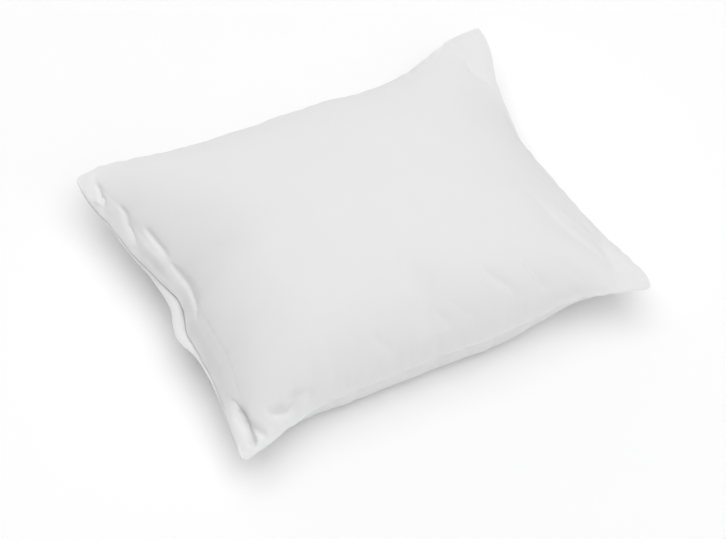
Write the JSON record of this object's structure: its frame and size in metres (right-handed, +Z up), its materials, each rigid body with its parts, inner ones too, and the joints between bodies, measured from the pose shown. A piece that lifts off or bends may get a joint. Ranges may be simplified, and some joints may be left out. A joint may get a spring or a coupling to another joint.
{
  "type": "filled pillowcase",
  "caption": "Filled bed pillowcase with a crowned body, drawn-in sewn sides, thin ears and an open hemmed end with two soft lips.",
  "frame": {"origin": "under the middle of the pillow's box, on the surface it rests on", "axes": "+X from the open hemmed end to the closed end, +Y from the front long side to the back long side, +Z up out of the crowned front panel"},
  "size_m": [0.599, 0.4934, 0.1447],
  "materials": {
    "white_cotton": "matte plain-woven cotton, bleached white, sewn seams and a hemmed mouth"
  },
  "bodies": {
    "root": {"filled_pillowcase": "white_cotton"}
  },
  "joints": []
}
